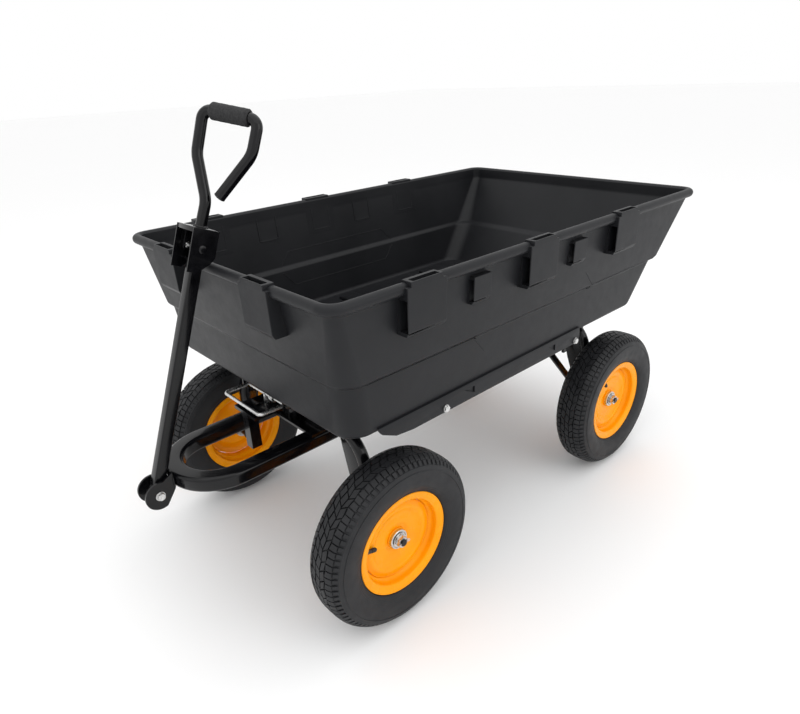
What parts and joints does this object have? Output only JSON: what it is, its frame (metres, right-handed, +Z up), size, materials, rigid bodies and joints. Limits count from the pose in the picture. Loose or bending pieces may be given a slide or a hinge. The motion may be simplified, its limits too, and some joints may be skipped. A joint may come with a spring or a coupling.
{
  "type": "garden dump cart",
  "caption": "Garden cart with a moulded tipping tub on a steel frame, pneumatic wheels, steered front axle and a tall pull handle with a folding hand loop.",
  "frame": {"origin": "middle of the footprint, at ground level", "axes": "+Z up, -Y forward to the handle end, +X to the cart's left"},
  "size_m": [0.8344, 1.5092, 1.0744],
  "materials": {
    "tub_plastic": "satin moulded plastic, light grain",
    "black_paint": "gloss black powder coat on steel",
    "zinc_plate": "bright zinc plating",
    "rim_paint": "gloss orange-yellow paint on steel",
    "tyre": "smooth sidewall, block tread",
    "rubber": "matte",
    "grip_foam": "matte closed-cell foam"
  },
  "bodies": {
    "chassis": {"rail_left": "black_paint", "rail_right": "black_paint", "front_crosshead": "black_paint", "rear_crossmember": "black_paint", "rear_axle_arch": "black_paint", "king_pin": "zinc_plate", "king_pin_nut": "zinc_plate", "hinge_pin_left": "zinc_plate", "hinge_pin_right": "zinc_plate", "rear_left_washer": "zinc_plate", "rear_left_axle_nut": "zinc_plate", "rear_right_washer": "zinc_plate", "rear_right_axle_nut": "zinc_plate"},
    "steering": {"front_axle_arch": "black_paint", "draw_loop": "black_paint", "turntable_plate": "black_paint", "clevis_plate_left": "black_paint", "clevis_plate_right": "black_paint", "clevis_bolt": "zinc_plate", "front_left_washer": "zinc_plate", "front_left_axle_nut": "zinc_plate", "front_right_washer": "zinc_plate", "front_right_axle_nut": "zinc_plate"},
    "handle": {"pull_bar": "black_paint", "yoke": "black_paint", "yoke_pin": "zinc_plate"},
    "grip": {"grip_foot": "black_paint", "grip_tube": "black_paint", "grip_foam": "grip_foam"},
    "tub": {"tub": "tub_plastic", "tub_frame": "black_paint", "tub_hinge_frame": "black_paint", "tub_bolt_front_left": "zinc_plate", "tub_bolt_front_right": "zinc_plate", "tub_bolt_rear_left": "zinc_plate", "tub_bolt_rear_right": "zinc_plate", "latch_bracket": "black_paint", "latch_spring": "zinc_plate"},
    "latch": {"latch_loop": "zinc_plate"},
    "front_left_wheel": {"front_left_tyre": "tyre", "front_left_rim": "rim_paint", "front_left_hub": "zinc_plate", "front_left_bearing": "zinc_plate", "front_left_valve": "rubber"},
    "front_right_wheel": {"front_right_tyre": "tyre", "front_right_rim": "rim_paint", "front_right_hub": "zinc_plate", "front_right_bearing": "zinc_plate", "front_right_valve": "rubber"},
    "rear_left_wheel": {"rear_left_tyre": "tyre", "rear_left_rim": "rim_paint", "rear_left_hub": "zinc_plate", "rear_left_bearing": "zinc_plate", "rear_left_valve": "rubber"},
    "rear_right_wheel": {"rear_right_tyre": "tyre", "rear_right_rim": "rim_paint", "rear_right_hub": "zinc_plate", "rear_right_bearing": "zinc_plate", "rear_right_valve": "rubber"}
  },
  "joints": [
    {"name": "steer", "type": "hinge", "parent": "chassis", "child": "steering", "pos_m": [0, -0.36656, 0.4], "axis": [0, 0, 1], "range_deg": [-16, 16]},
    {"name": "handle_tilt", "type": "hinge", "parent": "steering", "child": "handle", "pos_m": [0, -0.72356, 0.332], "axis": [1, 0, 0], "range_deg": [0, 130]},
    {"name": "grip_fold", "type": "hinge", "parent": "handle", "child": "grip", "pos_m": [0, -0.54446, 0.8181], "axis": [1, 0, 0], "range_deg": [0, 130]},
    {"name": "tub_dump", "type": "hinge", "parent": "chassis", "child": "tub", "pos_m": [0, 0.55644, 0.3], "axis": [-1, 0, 0], "range_deg": [0, 75]},
    {"name": "latch_lift", "type": "hinge", "parent": "tub", "child": "latch", "pos_m": [0, -0.43856, 0.452], "axis": [-1, 0, 0], "range_deg": [0, 25], "stiffness_Nm_per_rad": 0.5, "springref_deg": -28.65},
    {"name": "front_left_roll", "type": "hinge", "parent": "steering", "child": "front_left_wheel", "pos_m": [0.338, -0.36656, 0.2], "axis": [1, 0, 0], "continuous": true},
    {"name": "front_right_roll", "type": "hinge", "parent": "steering", "child": "front_right_wheel", "pos_m": [-0.338, -0.36656, 0.2], "axis": [1, 0, 0], "continuous": true},
    {"name": "rear_left_roll", "type": "hinge", "parent": "chassis", "child": "rear_left_wheel", "pos_m": [0.338, 0.48794, 0.2], "axis": [1, 0, 0], "continuous": true},
    {"name": "rear_right_roll", "type": "hinge", "parent": "chassis", "child": "rear_right_wheel", "pos_m": [-0.338, 0.48794, 0.2], "axis": [1, 0, 0], "continuous": true}
  ]
}
